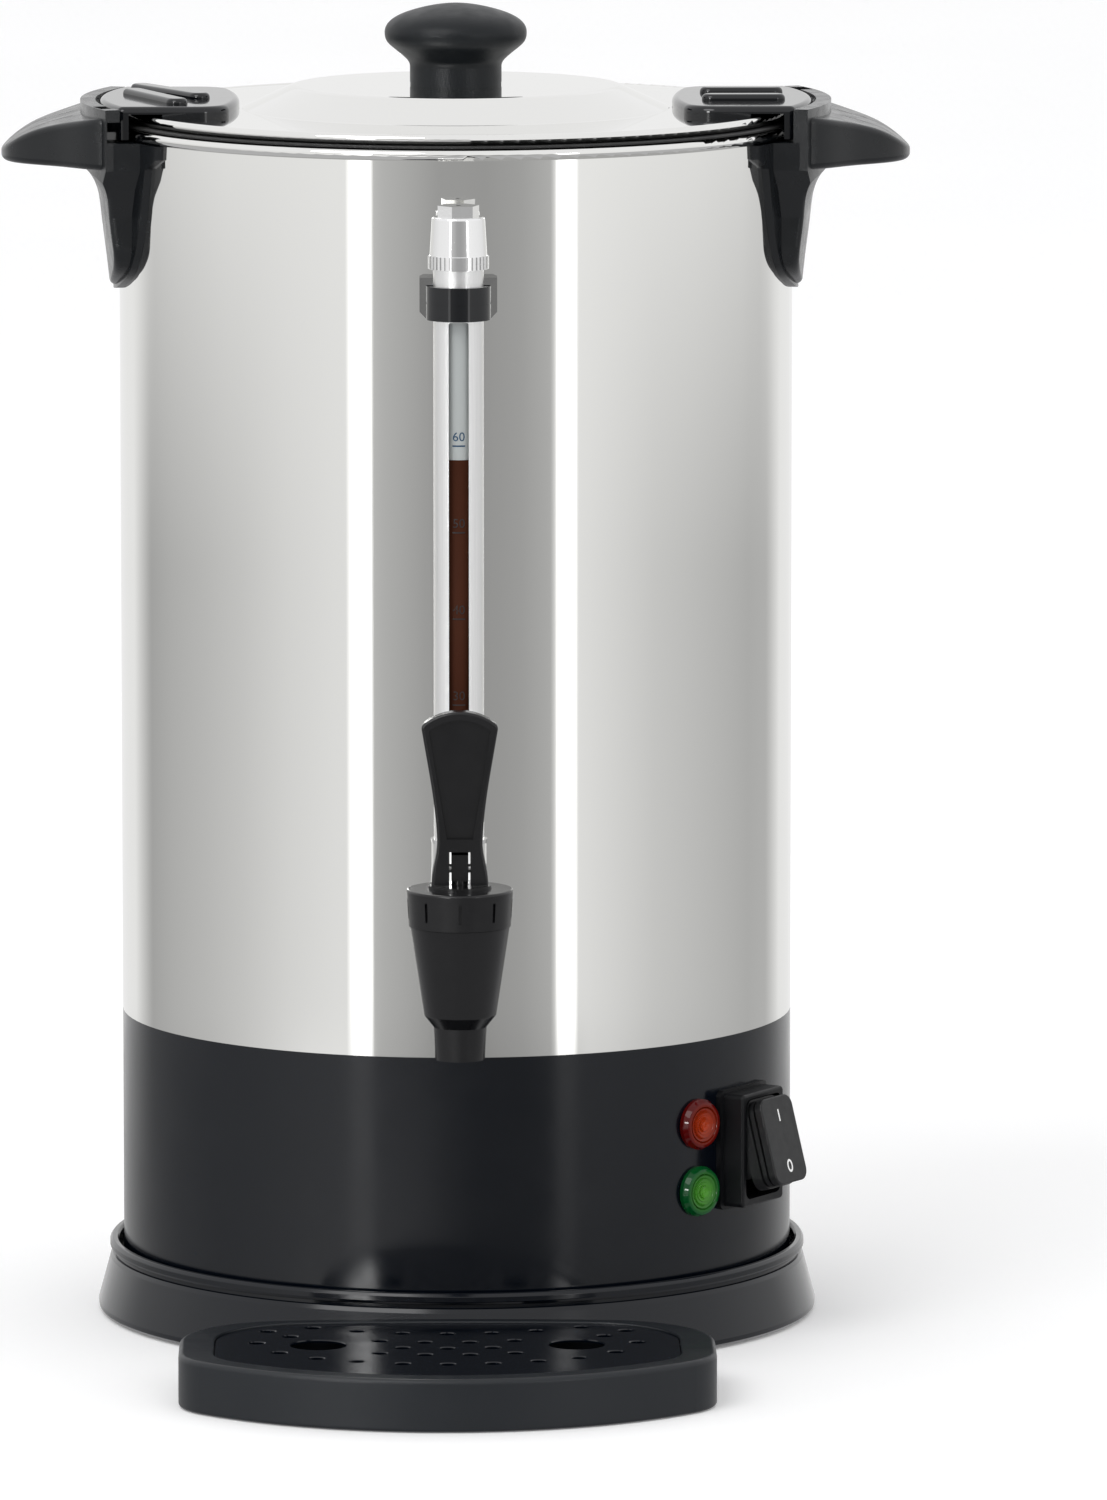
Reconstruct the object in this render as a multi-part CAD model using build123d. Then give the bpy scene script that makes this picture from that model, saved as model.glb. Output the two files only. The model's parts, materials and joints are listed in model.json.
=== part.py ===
"""Coffee urn: steel tank on a black base, locking lid, gauge tube, lever tap and drip tray.

Millimetres, +Z up. The origin is on the urn's axis, at the level that its feet stand on.
The tap and the gauge face -Y. An azimuth is counted from -Y towards +X.
"""
from build123d import *
import math
import os

# --- driving dimensions ---------------------------------------------------------------
BODY_R = 117.5            # outside of tank shell and base housing
SHEET = 0.8               # steel sheet
BAND_TOP = 107.0          # joint between base housing and tank shell
RIM_TOP = 419.5           # top of the tank's rolled rim
FLOOR_Z = 135.0           # upper face of the tank floor
WELL_R = 28.0             # pump well in the tank floor
WELL_Z = 127.0

SKIRT_SHELF_Z = 12.0      # underside of the shelf that carries the housing
SHELF_T = 2.5

LID_FLAT_Z = 424.0        # flat ring of the lid that the lugs sit on
LID_TOP_R = 57.0          # flat middle of the lid
LID_TOP_Z = 432.0
LID_CONE_R = 75.0
LID_SKIRT_R = 112.2
LID_BEAD_R = 115.4
KNOB_R = 24.8
KNOB_NECK_R = 16.0
KNOB_TOP = 460.4

LUG_OUT_R = 124.5         # outer, concentric face of a lid lug
LUG_IN_X = 75.5
LUG_HALF_W = 43.0
LUG_TOP = 427.8
LUG_FOOT_Z = 416.4        # underside of lug flange and locking foot
FOOT_OUT_R = 129.8
FOOT_FROM, FOOT_TO = 15.6, 19.2      # degrees along the rim from the lug's middle

COLLAR_IN_R = 125.7
COLLAR_OUT_R = 131.0
COLLAR_TOP = 427.2
COLLAR_END = 22.3         # degrees to each end of the collar
HANDLE_FLOOR = 415.5
GRIP_TIP = 158.6
GRIP_UNDER = 406.0
GROOVE_Y, GROOVE_DEPTH = 10.0, 0.7   # two fine grooves along the top of a grip
LEG_END = 361.5           # lowest point of a handle's leg
LEG_BOW_X = -90.0         # axis that the leg's outer face is turned about
FLANGE_T = 2.2            # flange of the handle against the tank
SCREW_R = BODY_R + 2.8    # handle screws end at this distance from the urn's axis

GAUGE_Y = -130.0
GLASS_R, GLASS_BORE = 6.0, 5.1
SHIELD_R, SHIELD_T = 8.6, 0.8
WINDOW_W = 6.8
WINDOW_TOP = 362.6
BRACKET_Z0, BRACKET_Z1 = 363.0, 374.5
BRACKET_RISE = 2.0        # how far the bracket's wings climb towards the tank

TAP_Y = -170.0
SHANK_Z = 148.0
SHANK_R = 8.0
NOZZLE_Z = 115.2
SEAT_Z = 134.0
BONNET_TOP = 173.6
LEVER_FOOT = 175.3
LEVER_TOP = 234.4
LEVER_PIN_Z = 180.5
LEVER_SLOT_TOP = 186.7

LENS_AZ, LENS_R = 44.8, 8.8
LENS_Z = (78.1, 54.6)
SWITCH_AZ, SWITCH_Z = 57.1, 67.5
SWITCH_HALF_W, SWITCH_HALF_H = 13.6, 19.8
SWITCH_FACE = 126.4       # distance of the switch housing's face from the urn's axis
ROCKER_Z = 67.9
ROCKER_N = 123.3          # distance of the rocker's pivot from the urn's axis
ROCKER_TILT = 14.8        # degrees to each side of the middle

TRAY_X = -4.4             # the loose tray stands a little to the left
TRAY_HALF_W = 91.2
TRAY_BACK, TRAY_FRONT = -127.0, -241.5
RECESS_HALF_W = 79.2
TRAY_TOP = 18.0
GRATE_T = 1.0

BASKET_R = 62.0
BASKET_Z0, BASKET_Z1 = 322.0, 392.0
TUBE_R = 4.8

parts = {}


# --- helpers --------------------------------------------------------------------------
def nearest(vertices, r, z):
    return min(vertices, key=lambda v: (v.X - r) ** 2 + (v.Z - z) ** 2)


def turned(points, rounds=()):
    """Body of revolution about Z from (r, z) corners; rounds holds (r, z, radius)."""
    face = make_face(Polyline(*[(r, 0, z) for r, z in points], close=True))
    for r, z, radius in rounds:
        face = fillet(nearest(face.vertices(), r, z), radius)
    return revolve(face, Axis.Z, 360)


def tube(r_out, r_in, z0, z1):
    ring = Circle(r_out) - Circle(r_in) if r_in else Circle(r_out)
    return extrude(Pos(0, 0, z0) * ring, z1 - z0)


def block(x0, x1, y0, y1, z0, z1):
    middle = Pos((x0 + x1) / 2, (y0 + y1) / 2, (z0 + z1) / 2)
    return middle * Box(x1 - x0, y1 - y0, z1 - z0)


def rod_y(radius, y0, y1, x=0.0, z=0.0):
    return Pos(x, (y0 + y1) / 2, z) * Rot(90, 0, 0) * Cylinder(radius, y1 - y0)


def rod_x(radius, x0, x1, y=0.0, z=0.0):
    return Pos((x0 + x1) / 2, y, z) * Rot(0, 90, 0) * Cylinder(radius, x1 - x0)


def sector(r_in, r_out, start, end, z0, z1):
    """Ring segment about Z, its angles in degrees counted from +X."""
    a, b = math.radians(start), math.radians(end)
    mid = (a + b) / 2

    def at(r, angle):
        return (r * math.cos(angle), r * math.sin(angle))

    outline = [
        Line(at(r_in, a), at(r_out, a)),
        ThreePointArc(at(r_out, a), at(r_out, mid), at(r_out, b)),
        Line(at(r_out, b), at(r_in, b)),
        ThreePointArc(at(r_in, b), at(r_in, mid), at(r_in, a)),
    ]
    return extrude(Pos(0, 0, z0) * make_face(outline), z1 - z0)


def facing(azimuth, shape):
    """Turn a shape that is drawn facing -Y to an azimuth on the urn."""
    return Rot(0, 0, azimuth) * shape


def mirrored(points):
    """Points of a half outline with y > 0, then the same ones mirrored, in order."""
    return points + [(x, -y) for x, y in reversed(points) if abs(y) > 1e-6]


# --- tank -----------------------------------------------------------------------------
def make_tank():
    wall = tube(BODY_R, BODY_R - SHEET, BAND_TOP, RIM_TOP - 1.9)
    bead_r = 1.9
    bead = revolve(Pos(BODY_R + 0.5, 0, RIM_TOP - bead_r) * Rot(90, 0, 0) * Circle(bead_r), Axis.Z)
    shell = wall + bead
    shell -= rod_y(SHANK_R + 0.3, -BODY_R - 5, -BODY_R + 8, z=SHANK_Z)
    shell -= rod_y(2.1, -BODY_R - 5, -BODY_R + 8, z=369)
    for side in (0, 180):
        for y, z in HANDLE_SCREWS:
            shell -= Rot(0, 0, side) * rod_x(2.6, BODY_R - 10, BODY_R + 3, y, z)
    parts["tank_shell"] = shell

    under = FLOOR_Z - 1.0
    inner = BODY_R - SHEET - 0.05
    parts["tank_floor"] = turned(
        [(0, WELL_Z - 1), (WELL_R, WELL_Z - 1), (WELL_R + 1.5, under), (inner, under),
         (inner, FLOOR_Z + 1.1), (inner - 1, FLOOR_Z + 1.1), (inner - 1, FLOOR_Z),
         (WELL_R + 0.6, FLOOR_Z), (WELL_R - 0.9, WELL_Z), (0, WELL_Z)])


# --- side handles ---------------------------------------------------------------------
HANDLE_SCREWS = ((-22.0, 398.0), (22.0, 398.0), (0.0, 374.0))


def flange_outline():
    """Outline of the flange in the YZ plane: wide under the collar, round at the foot."""
    half = [(407.0, 52.4), (402.0, 51.2), (388.0, 48.5), (381.0, 46.0), (374.0, 42.2),
            (369.3, 37.4), (366.0, 30.0), (362.8, 18.0), (LEG_END, 0.0)]
    edge = [(y, z) for z, y in mirrored(half)]
    top = Polyline(edge[-1], (-59.6, 410.8), (-60.0, HANDLE_FLOOR), (60.0, HANDLE_FLOOR),
                   (59.6, 410.8), edge[0])
    return Plane.YZ * make_face([Spline(*edge), top])


def leg_outline():
    """Outline of the leg in the YZ plane: straight sided, wider at the top."""
    half = [(379.0, 41.0), (374.0, 39.5), (370.4, 36.0), (367.2, 29.6), (364.0, 17.8),
            (LEG_END + 1.1, 0.0)]
    edge = [(y, z) for z, y in mirrored(half)]
    top = Polyline(edge[-1], (-41.0, 389.0), (-44.2, 399.0), (-48.6, 406.0), (-48.6, HANDLE_FLOOR),
                   (48.6, HANDLE_FLOOR), (48.6, 406.0), (44.2, 399.0), (41.0, 389.0), edge[0])
    return Plane.YZ * make_face([Spline(*edge), top])


def leg_bow():
    """Solid whose outer side is the leg's face, flared into the underside of the grip."""
    x0 = LEG_BOW_X
    side = make_face([
        Spline((120.6 - x0, 0, 360.0), (122.0 - x0, 0, 373.0), (123.9 - x0, 0, 388.5),
               (125.0 - x0, 0, 396.0), (127.0 - x0, 0, 401.0), (131.6 - x0, 0, GRIP_UNDER)),
        Polyline((131.6 - x0, 0, GRIP_UNDER), (131.6 - x0, 0, HANDLE_FLOOR),
                 (100.0 - x0, 0, HANDLE_FLOOR), (100.0 - x0, 0, 360.0), (120.6 - x0, 0, 360.0)),
    ])
    return Pos(x0, 0, 0) * revolve(side, Axis.Z, 360)


def grip_profile():
    """Side view of the grip in the XZ plane, its nose left to the plan's outline."""
    top = Spline((166.0, 0, 404.0), (157.6, 0, 411.2), (152.5, 0, 415.0), (147.5, 0, 417.7),
                 (140.0, 0, 420.3), (131.0, 0, 422.6), (122.0, 0, 424.4))
    return make_face([
        top,
        Line((122.0, 0, 424.4), (122.0, 0, GRIP_UNDER)),
        Line((122.0, 0, GRIP_UNDER), (166.0, 0, GRIP_UNDER - 6)),
        Line((166.0, 0, GRIP_UNDER - 6), (166.0, 0, 404.0)),
    ])


def grip_plan():
    """Outline of the grip from above: broad at the collar and narrow at the tip."""
    half = [(118.0, 46.5), (125.5, 45.0), (132.0, 39.0), (139.0, 31.0), (147.0, 24.0),
            (154.5, 15.5), (GRIP_TIP, 0.0)]
    edge = mirrored(half)
    return make_face([Spline(*edge), Line(edge[-1], edge[0])])


def make_handle():
    grip = extrude(grip_profile(), 60, both=True) & extrude(Pos(0, 0, 400) * grip_plan(), 40)
    grip &= block(110, 170, -70, 70, GRIP_UNDER, 430)
    grip = fillet(grip.edges().filter_by(lambda e: e.center().X > 124 and e.center().Z > 407), 2.2)
    grip = fillet(grip.edges().filter_by(lambda e: e.center().X > 124 and e.center().Z < 406.2), 2.2)
    below = Pos(0, 0, -GROOVE_DEPTH) * extrude(grip_profile(), 30, both=True)
    for y in (-GROOVE_Y, GROOVE_Y):
        grip -= block(133.5, 156.5, y - 0.45, y + 0.45, GRIP_UNDER + 1.5, 430) - below

    leg = extrude(leg_outline(), 140) & leg_bow()
    leg = fillet(leg.edges().filter_by(lambda e: e.center().X > 118 and e.center().Z < 400), 2.4)
    leg &= tube(COLLAR_OUT_R - 0.4, BODY_R, 350, HANDLE_FLOOR)
    flange = extrude(flange_outline(), 140) & tube(BODY_R + FLANGE_T, BODY_R, 350, HANDLE_FLOOR)
    collar = sector(COLLAR_IN_R, COLLAR_OUT_R, -COLLAR_END, COLLAR_END, GRIP_UNDER, COLLAR_TOP)
    web = sector(BODY_R + 4, COLLAR_OUT_R, -COLLAR_END, COLLAR_END, GRIP_UNDER, HANDLE_FLOOR)
    handle = leg + flange + web + grip + collar
    handle -= tube(COLLAR_IN_R, 0, HANDLE_FLOOR, 440)

    slot_r = FOOT_OUT_R + 0.6
    handle -= sector(BODY_R, slot_r, FOOT_FROM - 0.5, 30, HANDLE_FLOOR, 422.9)
    handle -= sector(BODY_R, slot_r, FOOT_FROM - 0.5, FOOT_TO + 0.5, HANDLE_FLOOR, 440)
    for y, z in HANDLE_SCREWS:
        handle -= rod_x(2.0, BODY_R - 10, SCREW_R, y, z)
    return handle


def make_handles():
    handle = make_handle()
    parts["handle_right"] = handle
    parts["handle_left"] = Rot(0, 0, 180) * handle
    screws = []
    for side in (0, 180):
        for y, z in HANDLE_SCREWS:
            inner = math.sqrt((BODY_R - SHEET) ** 2 - y ** 2)
            head = rod_x(4.2, inner - 3.4, inner - 1.0, y, z)
            shank = rod_x(2.0, inner - 1.2, SCREW_R, y, z)
            screws.append(Rot(0, 0, side) * (head + shank))
    parts["handle_screws"] = Compound(children=screws)


# --- lid ------------------------------------------------------------------------------
def make_lid_shell():
    """Spun sheet, flat in the middle, with a rolled edge and a skirt inside the tank's rim."""
    roll = 1.75
    edge_r = LID_BEAD_R - roll
    top = [(0, LID_TOP_Z), (LID_TOP_R, LID_TOP_Z), (LID_CONE_R, LID_FLAT_Z), (edge_r, LID_FLAT_Z)]
    under = [(r, z - SHEET) for r, z in reversed(top)]
    rounds = [(LID_TOP_R, LID_TOP_Z, 7.0), (LID_TOP_R, LID_TOP_Z - SHEET, 7.0 - SHEET),
              (LID_CONE_R, LID_FLAT_Z, 2.0), (LID_CONE_R, LID_FLAT_Z - SHEET, 2.0 + SHEET)]
    shell = turned(top + under, rounds)
    shell += tube(LID_SKIRT_R, LID_SKIRT_R - SHEET, 411.0, LID_FLAT_Z - SHEET / 2)
    bead = revolve(Pos(edge_r, 0, LID_FLAT_Z - 1.45) * Rot(90, 0, 0) * Circle(roll), Axis.Z)
    shell += bead
    shell -= tube(2.6, 0, 420, 435)
    for x, y in LUG_SCREWS:
        for side in (0, 180):
            shell -= Rot(0, 0, side) * Pos(x, y, LID_FLAT_Z) * Cylinder(1.8, 6)
    return shell


LUG_SCREWS = ((97.0, -28.0), (97.0, 28.0))
RIGHT_PADS = ((100.0, -14.0, 29.0, 0.0), (100.0, 14.0, 29.0, 0.0))
LEFT_PADS = ((104.7, 9.5, 50.0, 111.5), (99.8, -12.2, 50.0, 119.0))


def lug_plan():
    side_x = math.sqrt(LUG_OUT_R ** 2 - LUG_HALF_W ** 2)
    inner_x = 81.0
    plan = make_face([
        ThreePointArc((side_x, -LUG_HALF_W), (LUG_OUT_R, 0), (side_x, LUG_HALF_W)),
        Line((side_x, LUG_HALF_W), (inner_x, LUG_HALF_W)),
        ThreePointArc((inner_x, LUG_HALF_W), (LUG_IN_X, 0), (inner_x, -LUG_HALF_W)),
        Line((inner_x, -LUG_HALF_W), (side_x, -LUG_HALF_W)),
    ])
    corners = sorted(plan.vertices(), key=lambda v: v.X)
    plan = fillet(corners[:2], 12.0)
    return fillet(sorted(plan.vertices(), key=lambda v: v.X)[-2:], 2.6)


def make_lug(pads):
    """Lid lug on the +X side; a pad is (x, y, length, angle) of its slot from above."""
    lug = extrude(Pos(0, 0, LUG_FOOT_Z) * lug_plan(), LUG_TOP - LUG_FOOT_Z)
    top_edges = lug.edges().filter_by(lambda e: e.center().Z > LUG_TOP - 0.1)
    lug = fillet(top_edges, 2.2)
    lug -= tube(110.5, 0, LUG_FOOT_Z - 1, LID_FLAT_Z)
    lug -= tube(121.2, 110.4, LUG_FOOT_Z - 1, LID_FLAT_Z + 1.2)
    slope = (LID_TOP_Z - LID_FLAT_Z) / (LID_CONE_R - LID_TOP_R)
    foot_r = LID_CONE_R + 1.5
    lug -= turned([(0, 410), (foot_r, 410), (foot_r, LID_FLAT_Z),
                   (60, LID_FLAT_Z + (foot_r - 60) * slope), (0, 440)])
    lug += sector(LUG_OUT_R - 1, FOOT_OUT_R, FOOT_FROM, FOOT_TO, LUG_FOOT_Z, LUG_FOOT_Z + 2.6)
    for x, y, length, angle in pads:
        pad = extrude(Pos(x, y, LUG_TOP - 0.6) * Rot(0, 0, angle) * SlotOverall(length, 7.6), 2.6)
        pad = fillet(pad.edges().filter_by(lambda e: e.center().Z > LUG_TOP + 1.5), 1.6)
        lug += pad
    for x, y in LUG_SCREWS:
        lug -= Pos(x, y, LID_FLAT_Z) * Cylinder(1.4, 5.0)
    return lug


def make_lid():
    parts["lid_shell"] = make_lid_shell()
    parts["lid_lug_right"] = make_lug(RIGHT_PADS)
    parts["lid_lug_left"] = Rot(0, 0, 180) * make_lug(LEFT_PADS)
    screws = []
    for side in (0, 180):
        for x, y in LUG_SCREWS:
            low = LID_FLAT_Z - SHEET
            shape = (Pos(x, y, low - 1.1) * Cylinder(3.0, 2.2)
                     + Pos(x, y, low + 1.4) * Cylinder(1.4, 3.2))
            screws.append(Rot(0, 0, side) * shape)
    parts["lid_lug_screws"] = Compound(children=screws)

    parts["knob_ring"] = tube(KNOB_NECK_R - 0.1, 4.0, LID_TOP_Z, LID_TOP_Z + 1.0)
    low = LID_TOP_Z + 1.0
    profile = [
        Line((0, 0, low), (KNOB_NECK_R, 0, low)),
        Line((KNOB_NECK_R, 0, low), (KNOB_NECK_R, 0, 438.6)),
        Spline((KNOB_NECK_R, 0, 438.6), (17.6, 0, 441.4), (22.4, 0, 445.4), (KNOB_R, 0, 450.2),
               tangents=((0.1, 0, 1), (0, 0, 1))),
        Bezier((KNOB_R, 0, 450.2), (KNOB_R, 0, 453.6), (21.5, 0, 456.0), (15.2, 0, 457.9)),
        Bezier((15.2, 0, 457.9), (10.4, 0, 459.35), (5.0, 0, KNOB_TOP), (0, 0, KNOB_TOP)),
        Line((0, 0, KNOB_TOP), (0, 0, low)),
    ]
    knob = revolve(make_face(profile), Axis.Z)
    parts["lid_knob"] = knob - Pos(0, 0, low + 6) * Cylinder(2.0, 12)
    under = LID_TOP_Z - SHEET
    parts["lid_knob_screw"] = tube(2.0, 0, under - 0.4, low + 11) + tube(5.0, 0, under - 3.0, under)

    parts["lid_seal"] = turned([(112.9, 419.85), (118.4, 419.85), (118.4, 420.35), (117.8, 420.6),
                                (112.9, 420.6)])


# --- gauge ----------------------------------------------------------------------------
def make_gauge():
    at = Pos(0, GAUGE_Y, 0)
    parts["gauge_glass"] = at * tube(GLASS_R, GLASS_BORE, 162.0, 384.0)

    shield = tube(SHIELD_R, SHIELD_R - SHIELD_T, 171.0, 382.5)
    half = WINDOW_W / 2
    window = block(-half, half, -20, 0, 192.0, WINDOW_TOP)
    window = fillet(window.edges().filter_by(Axis.Y).group_by(Axis.Z)[-1], 0.9)
    parts["gauge_shield"] = at * (shield - window)

    front = tube(11.0, 0, BRACKET_Z0, BRACKET_Z1) - block(-12, 12, 0, 12, 350, 390)
    plan = Polyline((-10.95, -1.0), (-13.2, 6.0), (-13.2, 20.0), (13.2, 20.0), (13.2, 6.0), (10.95, -1.0),
                    close=True)
    side = Polyline((0, -2.0, BRACKET_Z0), (0, 6.5, BRACKET_Z0 + BRACKET_RISE),
                    (0, 21.0, BRACKET_Z0 + BRACKET_RISE), (0, 21.0, BRACKET_Z1 + BRACKET_RISE),
                    (0, 6.5, BRACKET_Z1 + BRACKET_RISE), (0, -2.0, BRACKET_Z1), close=True)
    wings = extrude(Pos(0, 0, 350) * make_face(plan), 40)
    wings &= Pos(-15, 0, 0) * extrude(make_face(side), 30, dir=(1, 0, 0))
    clamp = front + wings - tube(SHIELD_R + 0.02, 0, 350, 390)
    clamp -= tube(12.0, 10.8, 368.5, 368.8) - block(-13, 13, -0.5, 12, 350, 390)
    bracket = at * clamp - tube(BODY_R, 0, 350, 390)
    bracket -= rod_y(1.8, GAUGE_Y + 9.0, -BODY_R + 4, z=369)
    parts["gauge_bracket"] = bracket
    inner = -(BODY_R - SHEET)
    parts["gauge_bracket_screw"] = (rod_y(1.8, GAUGE_Y + 9.2, inner + 1, z=369)
                                    + rod_y(3.6, inner + 0.6, inner + 2.8, z=369))

    cap = turned([(0, 387.0), (7.2, 387.0), (7.2, 383.6), (9.0, 383.0), (9.0, 380.2), (10.0, 380.2),
                  (10.0, 384.8), (9.85, 385.0), (9.1, 398.0), (0, 398.0)], [(9.1, 398.0, 0.9)])
    cap += extrude(Pos(0, 0, 397.9) * Rot(0, 0, 12) * RegularPolygon(7.2, 6), 3.9)
    rib = block(-0.42, 0.42, -10.4, -9.6, 380.4, 384.8)
    count = 36
    for k in range(count):
        cap += Rot(0, 0, 360 * k / count) * rib
    parts["gauge_cap"] = at * (cap - tube(0.9, 0, 386, 405))

    parts["gauge_top_seal"] = at * tube(SHIELD_R - SHIELD_T - 0.05, GLASS_R + 0.05, 375.0, 380.0)
    parts["gauge_lower_seal"] = at * tube(7.15, GLASS_R + 0.05, 161.0, 167.5)
    nut = turned([(7.95, 162.5), (9.6, 162.5), (9.9, 166.0), (9.4, 176.0), (9.4, 183.6),
                  (9.7, 185.0), (SHIELD_R + 0.05, 185.0), (SHIELD_R + 0.05, 170.5), (7.95, 170.5)])
    parts["gauge_lower_nut"] = at * nut


# --- tap ------------------------------------------------------------------------------
def make_tap():
    boss = Pos(0, GAUGE_Y, 0)
    shank = rod_y(SHANK_R, TAP_Y + 14.0, -99.0, z=SHANK_Z)
    shank += rod_y(12.0, -122.6, -119.8, z=SHANK_Z)
    shank += boss * tube(7.9, 0, SHANK_Z, 169.0)
    shank -= rod_y(5.2, TAP_Y + 10.0, -90.0, z=SHANK_Z)
    shank -= boss * tube(7.2, 0, 161.0, 172.0)
    shank -= boss * tube(3.2, 0, SHANK_Z, 172.0)
    parts["tap_shank"] = shank

    ring = rod_y(12.4, -119.8, -110.0, z=SHANK_Z) - rod_y(SHANK_R + 0.05, -125, -100, z=SHANK_Z)
    parts["tap_outer_washer"] = ring - tube(BODY_R, 0, 120, 170)
    inner_r = BODY_R - SHEET
    ring = rod_y(11.6, -119.8, -113.6, z=SHANK_Z) - rod_y(SHANK_R + 0.05, -125, -100, z=SHANK_Z)
    parts["tap_inner_washer"] = ring & tube(inner_r - 0.02, 0, 120, 170)
    nut = Pos(0, -113.55, SHANK_Z) * Rot(-90, 0, 0) * extrude(RegularPolygon(12.4, 6), 7.0)
    parts["tap_nut"] = nut - rod_y(SHANK_R + 0.05, -125, -100, z=SHANK_Z)

    at = Pos(0, TAP_Y, 0)
    outside = turned(
        [(0, 110), (8.4, 110), (8.4, NOZZLE_Z), (9.1, 126.4), (12.3, 130.4), (16.9, 160.8),
         (14.4, 160.8), (14.4, 169.0), (0, 169.0)], [(12.3, 130.4, 1.0)])
    outside -= tube(30, 0, 100, NOZZLE_Z)
    body = at * outside + rod_y(11.2, TAP_Y + 10, TAP_Y + 26.0, z=SHANK_Z)
    body -= at * turned([(0, NOZZLE_Z - 1), (6.2, NOZZLE_Z - 1), (6.2, 129.5), (5.0, 130.5),
                         (5.0, SEAT_Z), (9.4, SEAT_Z), (12.6, 161.0), (12.6, 170), (0, 170)])
    body -= rod_y(SHANK_R + 0.05, TAP_Y + 13.9, TAP_Y + 30, z=SHANK_Z)
    body -= rod_y(5.2, TAP_Y, TAP_Y + 20, z=SHANK_Z)
    parts["tap_body"] = body

    bonnet = turned(
        [(17.4, 161.0), (18.2, BONNET_TOP), (10.8, BONNET_TOP + 0.2), (10.8, LEVER_FOOT - 0.4),
         (3.2, LEVER_FOOT - 0.4), (3.2, 170.4), (14.5, 170.4), (14.5, 161.0)],
        [(18.2, BONNET_TOP, 0.8)])
    grooves = 9
    for k in range(grooves):
        groove = block(-0.55, 0.55, -18.6, -17.0, 163.8, 170.4)
        bonnet -= Rot(0, 0, 360 * k / grooves) * groove
    parts["tap_bonnet"] = at * bonnet

    head = rod_x(5.6, -2.9, 2.9, z=LEVER_PIN_Z) + block(-2.9, 2.9, -2.8, 2.8, 176.4, LEVER_PIN_Z)
    stem = tube(2.8, 0, 142.0, 177.6) + (head & block(-2.9, 2.9, -2.8, 2.8, 176.4, 190.0))
    stem += tube(4.6, 0, 142.0, 144.0)
    stem -= rod_x(1.55, -5, 5, z=LEVER_PIN_Z)
    parts["tap_stem"] = at * stem
    cup = turned([(0, SEAT_Z + 0.1), (5.6, SEAT_Z + 0.1), (7.6, 138.0), (8.2, 147.5), (7.0, 147.5),
                  (5.8, 144.9), (2.85, 144.9), (2.85, 144.05), (4.65, 144.05), (4.65, 141.95),
                  (0, 141.95)])
    parts["tap_seat_cup"] = at * cup


def long_edges(solid, low, high):
    """Edges of the lever between two depths, without those of its foot."""
    edges = solid.edges().filter_by(lambda e: e.center().Z > 176 and e.length > 3)
    return edges.filter_by(lambda e: low < e.center().Y < high)


def make_lever():
    at = Pos(0, TAP_Y, 0)
    outline = make_face([
        Line((-9.6, 0, LEVER_FOOT), (9.6, 0, LEVER_FOOT)),
        Spline((9.6, 0, LEVER_FOOT), (8.8, 0, 182.0), (7.7, 0, 190.0),
               tangents=((0, 0, 1), (0.02, 0, 1))),
        Spline((7.7, 0, 190.0), (8.3, 0, 199.0), (13.1, 0, 229.5),
               tangents=((0.02, 0, 1), (0.16, 0, 1))),
        ThreePointArc((13.1, 0, 229.5), (0, 0, LEVER_TOP), (-13.1, 0, 229.5)),
        Spline((-13.1, 0, 229.5), (-8.3, 0, 199.0), (-7.7, 0, 190.0),
               tangents=((0.16, 0, -1), (0.02, 0, -1))),
        Spline((-7.7, 0, 190.0), (-8.8, 0, 182.0), (-9.6, 0, LEVER_FOOT),
               tangents=((-0.02, 0, -1), (0, 0, -1))),
    ])
    outline = fillet(sorted(outline.vertices(), key=lambda v: v.Z)[-2:], 2.2)
    side = make_face([
        Line((0, -5.2, LEVER_FOOT), (0, 5.2, LEVER_FOOT)),
        Line((0, 5.2, LEVER_FOOT), (0, 4.6, 190.0)),
        Line((0, 4.6, 190.0), (0, 1.6, 240.0)),
        Line((0, 1.6, 240.0), (0, -5.2, 240.0)),
        Spline((0, -5.2, 240.0), (0, -4.4, 212.0), (0, -5.2, 192.0), (0, -5.2, LEVER_FOOT)),
    ])
    lever = extrude(outline, 20, both=True) & extrude(side, 20, both=True)
    lever = fillet(long_edges(lever, -6.0, -2.5), 1.0)
    lever = fillet(long_edges(lever, 1.0, 6.0), 1.0)
    panel = make_face([
        Line((-4.4, 0, 191.0), (4.4, 0, 191.0)),
        Line((4.4, 0, 191.0), (10.4, 0, 227.8)),
        ThreePointArc((10.4, 0, 227.8), (0, 0, 231.6), (-10.4, 0, 227.8)),
        Line((-10.4, 0, 227.8), (-4.4, 0, 191.0)),
    ])
    lever -= Pos(0, -3.1, 0) * extrude(panel, 10)
    lever -= block(-3.6, 3.6, -10, 10, 170, LEVER_SLOT_TOP)
    lever -= rod_x(1.55, -20, 20, z=LEVER_PIN_Z)
    parts["tap_lever"] = at * lever
    parts["tap_lever_pin"] = at * rod_x(1.5, -8.0, 8.0, z=LEVER_PIN_Z)


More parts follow.
